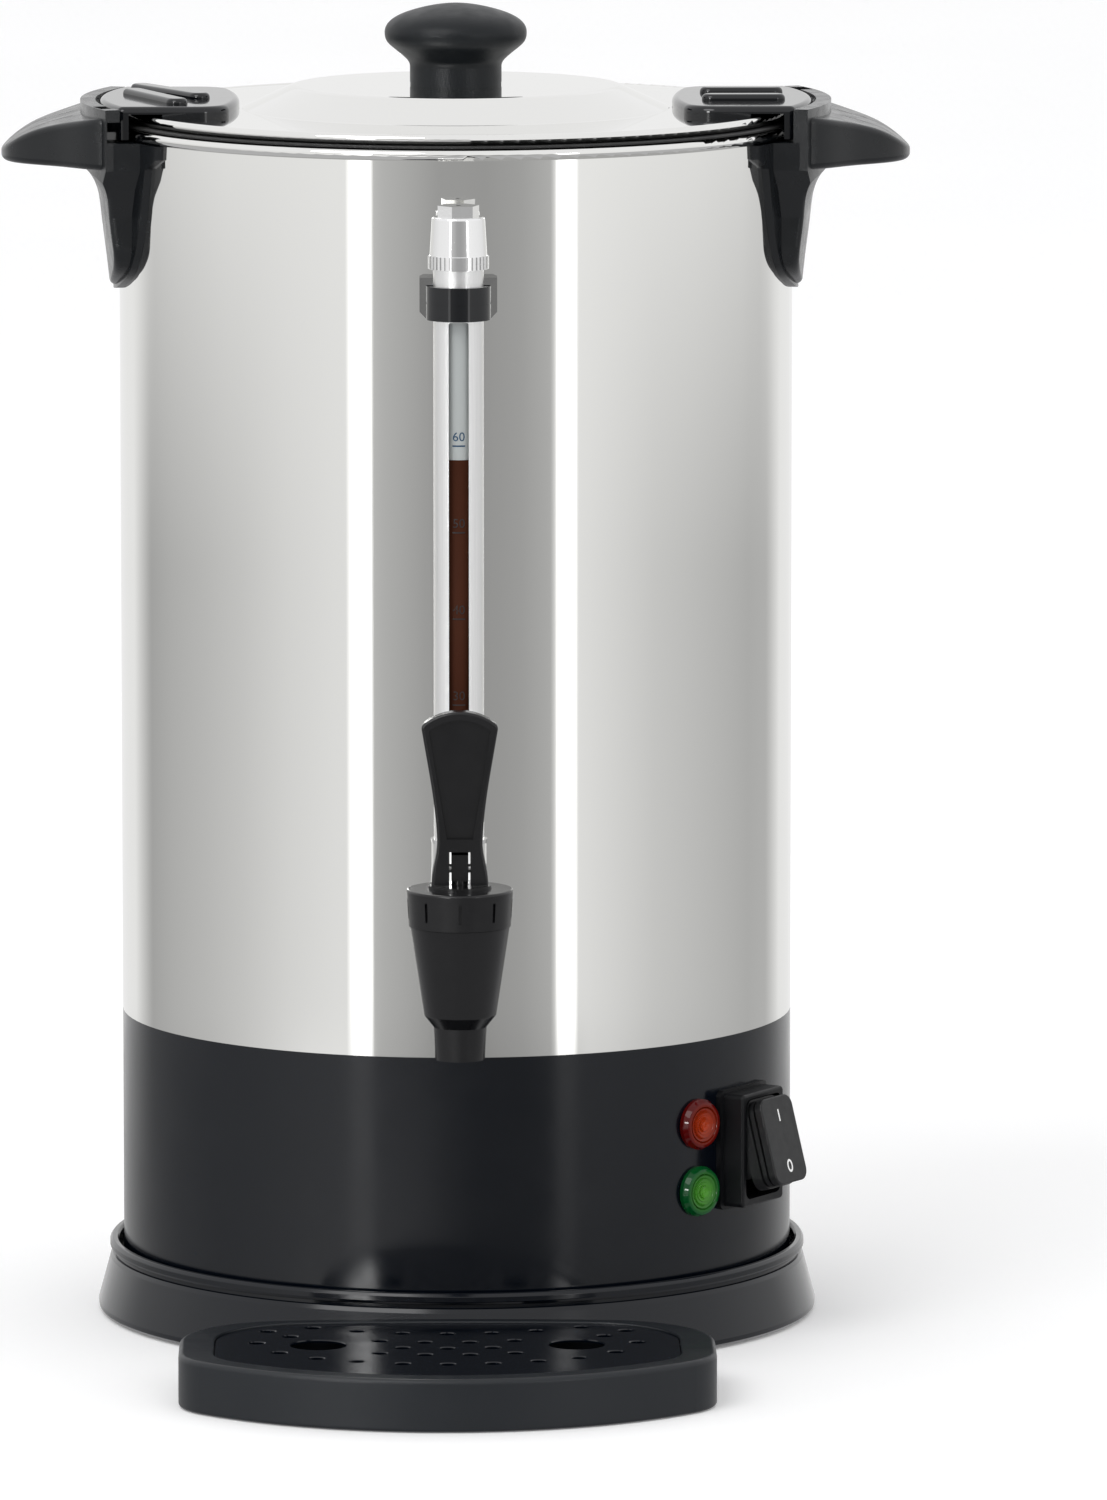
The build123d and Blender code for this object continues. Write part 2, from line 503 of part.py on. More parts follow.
# --- base -----------------------------------------------------------------------------
def make_base():
    shelf_top = SKIRT_SHELF_Z + SHELF_T
    lip_r = BODY_R - SHEET - 0.2
    housing = turned(
        [(BODY_R, shelf_top), (BODY_R, BAND_TOP), (lip_r, BAND_TOP), (lip_r, BAND_TOP + 9),
         (lip_r - 2, BAND_TOP + 9), (lip_r - 2, BAND_TOP - 4), (BODY_R - 2.5, BAND_TOP - 5),
         (BODY_R - 2.5, shelf_top)])
    for k in range(4):
        boss = Rot(0, 0, 45 + 90 * k) * Pos(109.5, 0, 0) * tube(5.0, 1.7, shelf_top, 36)
        web = Rot(0, 0, 45 + 90 * k) * block(113.0, BODY_R - 1.0, -1.5, 1.5, shelf_top, 36)
        housing += boss + web
    for z in LENS_Z:
        housing -= facing(LENS_AZ, rod_y(7.5, -BODY_R - 5, -BODY_R + 8, z=z))
    housing -= facing(SWITCH_AZ, block(-12.6, 12.6, -BODY_R - 5, -BODY_R + 18,
                                       SWITCH_Z - 18.7, SWITCH_Z + 18.7))
    housing -= facing(180, block(-13.4, 13.4, -BODY_R - 5, -BODY_R + 8, INLET_Z - 10, INLET_Z + 10))
    parts["base_housing"] = housing

    skirt = turned(
        [(119.2, 24.6), (120.0, 25.5), (121.6, 25.5), (122.4, 24.4), (122.4, 22.6), (121.8, 21.7),
         (120.8, 21.4), (120.8, 20.3), (121.5, 20.0), (122.3, 18.6), (126.5, 3.0), (126.3, 1.4),
         (125.2, 0.7), (124.0, 0.7), (120.6, SKIRT_SHELF_Z), (100.0, SKIRT_SHELF_Z),
         (100.0, shelf_top), (118.7, shelf_top), (119.2, 17.0)],
        [(120.0, 25.5, 0.6), (121.6, 25.5, 0.6), (122.4, 24.4, 0.5), (122.4, 22.6, 0.5)])
    for x in TRAY_TONGUES:
        skirt -= block(x - 12.0, x + 12.0, -130, -105, -1, 5.0)
    for k in range(4):
        skirt -= Rot(0, 0, 45 + 90 * k) * Pos(109.5, 0, SKIRT_SHELF_Z) * Cylinder(2.1, 12)
    parts["base_skirt"] = skirt

    plate = tube(114.0, 0, SKIRT_SHELF_Z - 1.2, SKIRT_SHELF_Z)
    for k in range(4):
        plate -= Rot(0, 0, 45 + 90 * k) * Pos(109.5, 0, SKIRT_SHELF_Z) * Cylinder(2.1, 12)
    vents, vent_r = 10, 62.0
    for k in range(vents):
        plate -= Rot(0, 0, 360 * k / vents) * Pos(vent_r, 0, SKIRT_SHELF_Z) * Box(26, 5, 8)
    parts["base_plate"] = plate

    low = SKIRT_SHELF_Z - 1.2
    screws, feet = [], []
    for k in range(4):
        place = Rot(0, 0, 45 + 90 * k)
        screws.append(place * Pos(109.5, 0, 0) * (tube(3.6, 0, low - 2.2, low)
                                                  + tube(1.7, 0, low - 0.2, 32)))
        foot = turned([(0, 0), (7.0, 0), (8.0, 1.2), (9.5, low), (0, low)], [(7.0, 0, 0.8)])
        feet.append(place * Pos(92.0, 0, 0) * foot)
    parts["base_screws"] = Compound(children=screws)
    parts["rubber_feet"] = Compound(children=feet)


# --- lamps, switch and inlet ----------------------------------------------------------
INLET_Z = 58.0


def lens_solid():
    """Fresnel lens facing +Z, seated at z = 0, its neck below."""
    step_r, step_h = 1.25, 0.35
    outline = [(0, -6.0), (7.3, -6.0), (7.3, 0), (LENS_R, 0), (LENS_R, 1.4), (LENS_R - 0.9, 3.1),
               (LENS_R - 2.4, 3.3), (LENS_R - 2.9, 2.5)]
    steps = 4
    for k in range(steps):
        r = LENS_R - 2.9 - step_r * k
        outline += [(r - 0.15, 3.2 + 0.12 * k), (r - step_r, 3.2 + 0.12 * k - step_h)]
    outline += [(0, 3.4)]
    return turned(outline)


def make_lamps():
    seat = -BODY_R - 0.02
    bodies = []
    for name, z in zip(("heating_lens", "keep_warm_lens"), LENS_Z):
        parts[name] = facing(LENS_AZ, Pos(0, seat, z) * Rot(90, 0, 0) * lens_solid())
        bodies.append(facing(LENS_AZ, rod_y(6.6, seat + 6.1, seat + 24, z=z)
                             + rod_y(1.0, seat + 24, seat + 30, x=3, z=z)
                             + rod_y(1.0, seat + 24, seat + 30, x=-3, z=z)))
    parts["lamp_bodies"] = Compound(children=bodies)


def rounded_plate(half_w, half_h, corner, y0, y1):
    """Plate with rounded corners that faces -Y, from y0 back to y1."""
    sketch = Plane.XZ * RectangleRounded(2 * half_w, 2 * half_h, corner)
    return Pos(0, y1, 0) * extrude(sketch, y1 - y0)


def make_switch():
    """Drawn facing -Y, with y counted from the urn's axis, then turned to its azimuth."""
    at = Pos(0, 0, SWITCH_Z)
    flange = at * rounded_plate(15.4, 21.0, 2.5, -130.0, -105.0)
    flange &= tube(BODY_R + 1.8, BODY_R, 0, 110)
    box = at * rounded_plate(SWITCH_HALF_W, SWITCH_HALF_H, 1.6, -SWITCH_FACE, -116.0)
    box = fillet(box.faces().sort_by(Axis.Y)[0].edges(), 1.0)
    box -= tube(BODY_R, 0, 0, 110)
    sleeve = at * rounded_plate(12.4, 18.5, 1.0, -BODY_R - 1, -108.0)
    housing = flange + box + sleeve
    housing -= Pos(0, 0, ROCKER_Z) * rounded_plate(11.6, 17.5, 3.0, -130.0, -100.0)
    housing -= rod_x(2.08, -12.4, 12.4, y=-ROCKER_N, z=ROCKER_Z)
    parts["switch_housing"] = facing(SWITCH_AZ, housing)

    # the rocker steps in twice behind its face
    paddle = rounded_plate(10.4, 15.2, 4.0, -11.9, -9.2)
    paddle = fillet(paddle.faces().sort_by(Axis.Y)[0].edges(), 0.6)
    paddle += rounded_plate(9.4, 14.0, 3.2, -9.3, -8.4)
    paddle += rounded_plate(10.6, 15.2, 4.4, -8.5, -7.0)
    paddle += rounded_plate(9.8, 14.4, 3.6, -7.1, -6.3)
    paddle += rounded_plate(11.1, 15.8, 5.0, -6.4, -2.6)
    paddle += rounded_plate(10.8, 11.0, 2.0, -2.7, 3.0)
    paddle = Rot(-ROCKER_TILT, 0, 0) * paddle + rod_x(2.0, -12.2, 12.2)
    parts["power_rocker"] = facing(SWITCH_AZ, Pos(0, -ROCKER_N, ROCKER_Z) * paddle)

    body = block(-11.8, 11.8, -107.9, -88, SWITCH_Z - 16.5, SWITCH_Z + 16.5)
    for z in (-9, 0, 9):
        body += block(-3.2, 3.2, -88.5, -79, SWITCH_Z + z - 0.4, SWITCH_Z + z + 0.4)
    parts["switch_body"] = facing(SWITCH_AZ, body)


def make_inlet():
    plate = block(-16.5, 16.5, -BODY_R - 3.0, -105, INLET_Z - 13, INLET_Z + 13)
    plate = fillet(plate.edges().filter_by(Axis.Y), 3.0)
    plate -= tube(BODY_R, 0, 0, 110)
    inlet = plate + block(-13.0, 13.0, -BODY_R - 1, -94, INLET_Z - 9.6, INLET_Z + 9.6)
    inlet -= block(-11.2, 11.2, -BODY_R - 5, -98, INLET_Z - 7.6, INLET_Z + 7.6)
    pins = []
    for x, z in ((-7.0, -1.8), (0.0, 2.2), (7.0, -1.8)):
        pin = block(x - 1.0, x + 1.0, -114.0, -86.0, INLET_Z + z - 2.0, INLET_Z + z + 2.0)
        inlet -= block(x - 1.03, x + 1.03, -100.0, -90.0, INLET_Z + z - 2.03, INLET_Z + z + 2.03)
        pins.append(facing(180, pin))
    parts["appliance_inlet"] = facing(180, inlet)
    parts["inlet_pins"] = Compound(children=pins)


# --- heater and wiring ----------------------------------------------------------------
def ring_tube(ring_r, tube_r, z, sweep, start):
    circle = Pos(ring_r, 0, z) * Rot(90, 0, 0) * Circle(tube_r)
    return Rot(0, 0, start) * revolve(circle, Axis.Z, sweep)


def make_heater():
    under = FLOOR_Z - 1.0
    plate_low = under - 3.5
    parts["heat_plate"] = tube(60.0, WELL_R + 3.0, plate_low, under - 0.02)
    element = ring_tube(45.0, 4.0, plate_low - 4.0, 300, 30)
    for angle in (30, 330):
        element += Rot(0, 0, angle) * Pos(45.0, 0, 0) * tube(2.0, 0, plate_low - 22, plate_low - 4)
    parts["heating_element"] = element
    warm = ring_tube(55.0, 2.4, plate_low - 2.4, 150, 105)
    for angle in (105, 255):
        warm += Rot(0, 0, angle) * Pos(55.0, 0, 0) * tube(1.4, 0, plate_low - 18, plate_low - 2.4)
    parts["keep_warm_element"] = warm
    clamp_top = plate_low - 8.1
    clamp = block(-8, 8, -52, 52, clamp_top - 1.6, clamp_top)
    clamp += tube(3.0, 0, clamp_top - 8, WELL_Z - 1.05) + tube(6.0, 0, clamp_top - 6, clamp_top - 1.6)
    parts["heater_clamp"] = clamp
    stat_top = clamp_top - 1.6
    parts["thermostat"] = (Pos(0, 30, 0) * tube(8.2, 0, stat_top - 9, stat_top)
                           + block(-10.5, 10.5, 28, 32, stat_top - 11, stat_top - 7))
    parts["thermal_cutout"] = (Pos(0, -30, 0) * tube(7.0, 0, stat_top - 7, stat_top)
                               + block(-9.5, 9.5, -32, -28, stat_top - 9, stat_top - 5))
    block_low = SKIRT_SHELF_Z
    terminal = block(-24, 24, 40, 58, block_low, block_low + 15)
    for k in range(4):
        terminal -= Pos(-18 + 12 * k, 49, block_low + 15) * Cylinder(3.0, 10)
    parts["terminal_block"] = terminal


def wire(points, radius):
    path = FilletPolyline(*points, radius=radius)
    return sweep((path ^ 0) * Circle(1.3), path)


def make_wires():
    top = SKIRT_SHELF_Z + 15.0
    routes = [
        ([(-6, 62, top + 12), (-6, 75, top + 12), (0, 84.2, INLET_Z + 2.2)], 4.0),
        ([(30, 47, top - 6), (52, 30, top + 4), (62, -26, SWITCH_Z - 9)], 14.0),
        ([(-30, 45, top - 4), (-52, 30, top + 10), (-50, 6, 95), (-53, 0, 104)], 12.0),
    ]
    parts["internal_wires"] = Compound(children=[wire(points, r) for points, r in routes])


# --- brewing parts --------------------------------------------------------------------
def make_brewing():
    parts["pump_base"] = turned(
        [(24.5, WELL_Z + 0.3), (25.6, WELL_Z + 0.3), (25.6, WELL_Z + 4.0), (9.0, 141.0),
         (7.0, 150.0), (TUBE_R + 0.05, 150.0), (TUBE_R + 0.05, 139.0), (7.6, 139.0),
         (24.5, WELL_Z + 3.2)])
    parts["pump_valve"] = tube(20.0, 3.0, WELL_Z + 1.2, WELL_Z + 2.2)
    stop = turned([(TUBE_R - 0.8, 316.0), (TUBE_R, 316.0), (7.4, 319.0), (7.4, 321.8),
                   (TUBE_R, 321.8), (TUBE_R - 0.8, 321.8)])
    parts["pump_tube"] = tube(TUBE_R, TUBE_R - 0.8, 139.2, 409.5) + stop

    sleeve_in = TUBE_R + 0.35
    floor_top = BASKET_Z0 + 0.8
    rim = tube(BASKET_R + 2.2, BASKET_R, BASKET_Z1 - 1.2, BASKET_Z1)
    parts["coffee_basket"] = tube(BASKET_R, BASKET_R - 0.8, floor_top, BASKET_Z1) + rim
    floor = tube(BASKET_R, sleeve_in, BASKET_Z0, floor_top)
    floor -= perforation(BASKET_Z0 + 0.4, (14, 23, 32, 41, 50), 2.0)
    sleeve = tube(sleeve_in + 0.8, sleeve_in, floor_top, BASKET_Z1 - 4)
    parts["basket_floor"] = Compound(children=[floor, sleeve])

    cover_z = BASKET_Z1 + 0.3
    cover = turned(
        [(sleeve_in, cover_z), (BASKET_R + 1.2, cover_z), (BASKET_R + 1.2, cover_z + 5.0),
         (BASKET_R + 0.4, cover_z + 5.0), (BASKET_R + 0.4, cover_z + 0.8),
         (sleeve_in + 2.4, cover_z + 0.8), (sleeve_in + 2.4, cover_z + 3.0), (sleeve_in, cover_z + 3.0)])
    parts["basket_cover"] = cover - perforation(cover_z + 0.4, (18, 30, 42, 54), 2.4)


def perforation(z, rings, hole_r):
    """Drills on concentric rings, about 9 mm apart along each ring."""
    drills = []
    for ring_r in rings:
        count = round(2 * math.pi * ring_r / 10.5)
        for k in range(count):
            drills.append(Rot(0, 0, 360 * k / count) * Pos(ring_r, 0, z) * Cylinder(hole_r, 6))
    return Compound(children=drills)


# --- drip tray ------------------------------------------------------------------------
TRAY_TONGUES = (-38.0, 38.0)


def tray_outline(half_w, back, front, front_r, back_corner, front_corner):
    """Plan with a bowed front and back and four rounded corners."""
    back_r = 640.0
    plan = Pos(0, (back + front) / 2) * Rectangle(2 * half_w, back - front)
    plan &= Pos(0, front + front_r) * Circle(front_r)
    plan &= Pos(0, back - back_r) * Circle(back_r)
    corners = sorted(plan.vertices(), key=lambda v: v.Y)
    plan = fillet(corners[-2:], back_corner)
    corners = sorted(plan.vertices(), key=lambda v: v.Y)
    return fillet(corners[:2], front_corner)


HOLE_PITCH = 15.3
HOLE_ROWS = ((-152.6, (0, 1, 2, 3)), (-168.4, (0.5, 1.5)), (-179.6, (0, 1)),
             (-191.4, (0.5, 1.5)), (-208.8, (0, 1, 2, 2.9)))
HOLE_BOW = 0.0058         # the rows bend back by this times the square of x
SIDE_HOLES = ((61.2, -147.0), (53.6, -156.8), (64.8, -168.8), (57.1, -186.6))
RING_X, RING_Y = 43.9, -172.8


def grate_drill(radius, top):
    """Drill with a small countersink, its place in the plate's top."""
    edge = 0.35
    return turned([(0, top - 6), (radius, top - 6), (radius, top - edge), (radius + edge, top),
                   (radius + edge, top + 2), (0, top + 2)])


def grate_holes(top):
    centres = [(n * HOLE_PITCH, y) for y, row in HOLE_ROWS for n in row]
    centres = [(x, y + HOLE_BOW * x ** 2) for x, y in centres]
    centres += SIDE_HOLES
    centres += [(-x, y) for x, y in centres if x > 0]
    small, large = grate_drill(2.7, top), grate_drill(9.5, top)
    drills = [Pos(x, y, 0) * small for x, y in centres]
    drills += [Pos(x, RING_Y, 0) * large for x in (-RING_X, RING_X)]
    return Compound(children=drills)


def make_tray():
    """Drawn about x = 0 and then moved sideways to where the tray stands."""
    at = Pos(TRAY_X, 0, 0)
    tray = extrude(tray_outline(TRAY_HALF_W, TRAY_BACK, TRAY_FRONT, 121.0, 38.0, 24.0), TRAY_TOP)
    tray = fillet(tray.faces().sort_by(Axis.Z)[-1].edges(), 1.8)
    tray = fillet(tray.faces().sort_by(Axis.Z)[0].edges(), 1.2)
    seat = TRAY_TOP - 1.0 - GRATE_T
    back, front = TRAY_BACK - 6.0, TRAY_FRONT + 8.8
    recess = tray_outline(RECESS_HALF_W, back, front, 113.0, 32.0, 20.0)
    basin = tray_outline(RECESS_HALF_W - 3, back - 3, front + 3, 110.0, 29.0, 17.0)
    tray -= extrude(Pos(0, 0, seat) * recess, 10)
    tray = fillet(tray.faces().filter_by(Axis.Z).sort_by(Axis.Z)[-1].inner_wires()[0].edges(), 0.5)
    tray -= extrude(Pos(0, 0, 2.2) * basin, 20)
    for x in TRAY_TONGUES:
        tray += block(x - 7.0, x + 7.0, TRAY_BACK - 4, -108, 0.8, 4.2)
    parts["drip_tray"] = at * tray

    plate = tray_outline(RECESS_HALF_W - 0.4, back - 0.4, front + 0.4, 112.6, 31.6, 19.6)
    low = seat + 0.3
    grate = extrude(Pos(0, 0, low) * plate, GRATE_T) - grate_holes(low + GRATE_T)
    parts["drip_grate"] = at * grate


# --- build ----------------------------------------------------------------------------
make_tank()
make_handles()
make_lid()
make_gauge()
make_tap()
make_lever()
make_base()
make_lamps()
make_switch()
make_inlet()
make_heater()
make_wires()
make_brewing()
make_tray()

os.makedirs("parts", exist_ok=True)
for name, shape in parts.items():
    export_step(shape, f"parts/{name}.step")
print(len(parts), "nodes")
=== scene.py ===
"""Looks of the coffee urn: finishes, the filled gauge and its marks, the switch marks, the studio.

Metres, in the frame's own axes. An azimuth is counted from -Y towards +X, in degrees.
"""
import json
import math

import bmesh
import bpy
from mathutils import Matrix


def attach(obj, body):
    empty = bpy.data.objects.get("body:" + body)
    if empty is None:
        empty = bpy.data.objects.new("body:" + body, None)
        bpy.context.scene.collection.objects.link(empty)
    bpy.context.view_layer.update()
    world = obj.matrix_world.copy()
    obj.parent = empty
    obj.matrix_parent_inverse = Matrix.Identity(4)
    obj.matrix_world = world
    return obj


# --- gauge ----------------------------------------------------------------------------
GAUGE_Y = -0.130
GLASS_R = 0.0060
COFFEE_R = 0.00603
COFFEE_BOTTOM, COFFEE_TOP = 0.168, 0.3155
CUP_MARKS = ((60, 0.3203), (50, 0.2907), (40, 0.2611), (30, 0.2316), (20, 0.2021))
MARK_HALF_W, MARK_H = 0.0022, 0.0005
DIGIT_SIZE, DIGIT_GAP = 0.0044, 0.0017
PRINT_FILM = 0.00007      # the print stands this far off the glass
BACKING_BOTTOM, BACKING_TOP = 0.172, 0.3745
BACKING_GAP = 0.0001      # between the glass and the strip behind it
BACKING_FROM, BACKING_SPREAD = 10, 160      # degrees round the glass, from +X

# --- rocker switch --------------------------------------------------------------------
SWITCH_AZIMUTH = 57.1
ROCKER_PIVOT_R, ROCKER_PIVOT_Z = 0.1233, 0.0679
ROCKER_TILT = 14.8
ROCKER_FACE = 0.0119
ON_MARK_UP, OFF_MARK_UP = 0.0086, -0.0093
ON_MARK_HALF_H = 0.0021
OFF_MARK_HALF_W, OFF_MARK_HALF_H = 0.0017, 0.0023
STROKE = 0.0008
MARK_FILM = 0.00004       # the marks stand this far off the rocker's face

# --- lenses ---------------------------------------------------------------------------
LENS_AZIMUTH, LENS_SEAT_R, LENS_R = 44.8, 0.1175, 0.0088
LENS_HEIGHTS = {"red_lens": 0.0781, "green_lens": 0.0546}
# lens colours are painted light: a darker rim of painted shade and a brighter middle of painted glow
LENS_SHADED_RIMS = {"red_lens": (0.085, 0.0012, 0.0010), "green_lens": (0.0015, 0.068, 0.014)}
LENS_GLOWING_MIDDLES = {"red_lens": (0.42, 0.042, 0.006), "green_lens": (0.085, 0.32, 0.026)}

# --- studio ---------------------------------------------------------------------------
CAMERA_DISTANCE, CAMERA_HEIGHT, CAMERA_AZIMUTH = 4.430, 0.80683, -0.37
CAMERA_PITCH, CAMERA_YAW = 7.832, 0.441
CAMERA_LENS, CAMERA_SENSOR = 305.41, 36.0
FLOOR_COLOR = (0.91, 0.91, 0.915)
FLOOR_HALF, FLOOR_DROP, FLOOR_WHITENING = 14.0, 0.0003, 0.12
KEY_PLACE, KEY_PITCH, KEY_TURN = (-1.6, -2.2, 3.0), 42, -36
KEY_SIZE, KEY_POWER = 2.2, 40.0

# radiance by azimuth, counted from the camera's, in the ring of cards round the urn
CARDS_LEVEL = (
    (-180, 0.90), (-140, 0.90), (-126, 0.74), (-110, 0.80), (-85, 0.88), (-42, 0.92),
    (-37, 0.92), (-36, 1.9), (-29.5, 1.9), (-28.4, 0.60), (-25, 0.53), (-14, 0.45), (-6, 0.38),
    (10, 0.365), (22, 0.41), (32, 0.50), (33.6, 0.54), (34.4, 1.9), (40.5, 1.9), (42, 0.95),
    (60, 0.92), (90, 0.88), (115, 0.82), (128, 0.74), (142, 0.90), (180, 0.90))
CARDS_BELOW = (
    (-180, 0.88), (-146, 0.88), (-130, 0.42), (-115, 0.49), (-96, 0.56), (-79, 0.64),
    (-60, 0.76), (-42, 0.84), (-37, 0.85), (-36, 1.8), (-29.5, 1.8), (-28.4, 0.55), (-25, 0.50),
    (-14, 0.42), (-6, 0.35), (10, 0.345), (22, 0.39), (32, 0.47), (33.6, 0.50), (34.4, 1.8),
    (40.5, 1.8), (42, 0.86), (57, 0.76), (72, 0.66), (98, 0.56), (120, 0.48), (134, 0.50),
    (148, 0.88), (180, 0.88))
CARDS_LOW = (
    (-180, 0.60), (-140, 0.46), (-114, 0.42), (-92, 0.50), (-70, 0.72), (-52, 0.96), (-37, 0.96),
    (-36, 0.85), (-29.5, 0.80), (-27, 0.42), (-12, 0.34), (-4, 0.27), (10, 0.25), (24, 0.29),
    (33, 0.36), (40.5, 0.42), (46, 0.62), (54, 0.62), (66, 0.52), (90, 0.47), (120, 0.45),
    (150, 0.60), (180, 0.60))
CARDS_HIGH = (
    (-180, 0.90), (-60, 0.92), (-37, 0.92), (-36, 30.0), (-29.5, 30.0), (-28.4, 0.75), (0, 0.60),
    (33.4, 0.75), (34.4, 8.0), (40.5, 8.0), (41.5, 0.92), (60, 0.92), (180, 0.90))
CARDS_FOOT = (
    (-180, 0.60), (-140, 0.46), (-114, 0.42), (-92, 0.50), (-70, 0.72), (-44, 1.1), (-28, 1.8),
    (-12, 1.5), (-2, 0.75), (6, 0.36), (24, 0.20), (40, 0.20), (66, 0.34), (90, 0.44),
    (120, 0.45), (150, 0.60), (180, 0.60))
CEILING, GROUND = (0.95, 0.95, 0.96), (0.50, 0.50, 0.51)
# what takes over from CARDS_LEVEL between two elevations, in degrees, each laid over the last
CARD_LAYERS = (
    (-5.0, -7.0, CARDS_BELOW), (-9.0, -9.6, CARDS_LOW), (-10.35, -10.55, CARDS_FOOT),
    (6.0, 8.0, CARDS_HIGH), (12.0, 14.0, CEILING), (-11.5, -16.0, GROUND))
# soft light, by the sine of the elevation
SOFT_FROM, SOFT_TO = -0.2, 0.9
SOFT_BELOW, SOFT_ABOVE = (0.72, 0.72, 0.73), (1.0, 1.0, 1.0)
WHITE = (1.0, 1.0, 1.0)


def place_at(azimuth, r, across=0.0):
    """x and y of a place at r from the urn's axis, and this far across from that azimuth."""
    turn = math.radians(azimuth)
    return (r * math.sin(turn) + across * math.cos(turn),
            -r * math.cos(turn) + across * math.sin(turn))


# --- node helpers ---------------------------------------------------------------------
def add_node(tree, kind, **values):
    """A node with its settings; a value whose name is an input's goes to that input."""
    node = tree.nodes.new(kind)
    for key, value in values.items():
        label = key.replace("_", " ").title()
        if label in node.inputs:
            node.inputs[label].default_value = value
        else:
            setattr(node, key, value)
    return node


class Finish:
    """A material on a Principled shader, and the detail that is worked into it."""

    def __init__(self, name, color, roughness, metallic=0.0, **inputs):
        self.name = name
        self.material = bpy.data.materials.new(name)
        self.material.use_nodes = True
        self.tree = self.material.node_tree
        self.shader = self.tree.nodes["Principled BSDF"]
        self.color = color
        self.shader.inputs["Base Color"].default_value = (*color, 1.0)
        self.shader.inputs["Roughness"].default_value = roughness
        self.shader.inputs["Metallic"].default_value = metallic
        for label, value in inputs.items():
            self.shader.inputs[label.replace("_", " ")].default_value = value
        self.roughness = roughness
        self.coords = self.tree.nodes.new("ShaderNodeTexCoord").outputs["Object"]
        self.normal = None

    def link(self, source, target):
        self.tree.links.new(source, target)

    def noise(self, scale, stretch=(1, 1, 1), detail=2.0):
        mapping = add_node(self.tree, "ShaderNodeMapping", scale=stretch)
        self.link(self.coords, mapping.inputs["Vector"])
        node = add_node(self.tree, "ShaderNodeTexNoise", scale=scale, detail=detail)
        self.link(mapping.outputs["Vector"], node.inputs["Vector"])
        return node.outputs["Fac"]

    def spread(self, value, low, high):
        """The middle of a noise's values, stretched to run from low to high."""
        node = add_node(self.tree, "ShaderNodeMapRange", from_min=0.3, from_max=0.7,
                        to_min=low, to_max=high)
        self.link(value, node.inputs["Value"])
        return node.outputs["Result"]

    def vary_roughness(self, value, swing):
        result = self.spread(value, self.roughness - swing, self.roughness + swing)
        self.link(result, self.shader.inputs["Roughness"])

    def vary_color(self, value, darkest):
        """Multiply the colour by a factor from darkest to 1."""
        factor = self.spread(value, darkest, 1.0)
        node = add_node(self.tree, "ShaderNodeVectorMath", operation="SCALE")
        node.inputs[0].default_value = self.color
        self.link(factor, node.inputs["Scale"])
        self.link(node.outputs[0], self.shader.inputs["Base Color"])

    def glow_to_centre(self, height, rim, centre):
        """Painted light of a lens: a darker rim of painted shade, fading to a brighter middle of
        painted glow, with fine rings between.
        """
        middle = (*place_at(LENS_AZIMUTH, LENS_SEAT_R), height)
        place = add_node(self.tree, "ShaderNodeMapping", vector_type="TEXTURE", location=middle,
                         scale=(LENS_R, LENS_R, LENS_R))
        self.link(self.coords, place.inputs["Vector"])
        fade = add_node(self.tree, "ShaderNodeTexGradient", gradient_type="SPHERICAL")
        self.link(place.outputs["Vector"], fade.inputs["Vector"])
        ramp = self.tree.nodes.new("ShaderNodeValToRGB")
        elements = ramp.color_ramp.elements
        elements[0].position, elements[0].color = 0.05, (*rim, 1.0)
        elements[1].position, elements[1].color = 0.75, (*centre, 1.0)
        self.link(fade.outputs["Fac"], ramp.inputs["Fac"])
        self.link(ramp.outputs["Color"], self.shader.inputs["Base Color"])
        rings = add_node(self.tree, "ShaderNodeTexWave", wave_type="RINGS",
                         rings_direction="SPHERICAL", scale=1.6)
        self.link(place.outputs["Vector"], rings.inputs["Vector"])
        self.bump(rings.outputs["Fac"], 0.00012)

    def whiten_for_camera(self, strength):
        """A little white on top of the lit colour, for camera rays only; shadows stay."""
        path = self.tree.nodes.new("ShaderNodeLightPath")
        amount = math_node(self.tree, "MULTIPLY", path.outputs["Is Camera Ray"], strength)
        emission = self.tree.nodes.new("ShaderNodeEmission")
        self.link(amount, emission.inputs["Strength"])
        both = self.tree.nodes.new("ShaderNodeAddShader")
        self.link(self.shader.outputs[0], both.inputs[0])
        self.link(emission.outputs[0], both.inputs[1])
        self.link(both.outputs[0], self.tree.nodes["Material Output"].inputs["Surface"])

    def bump(self, value, depth):
        """Relief of this depth, worked on top of any that is there already."""
        node = add_node(self.tree, "ShaderNodeBump", strength=1.0, distance=depth)
        self.link(value, node.inputs["Height"])
        if self.normal:
            self.link(self.normal, node.inputs["Normal"])
        self.normal = node.outputs["Normal"]
        self.link(self.normal, self.shader.inputs["Normal"])


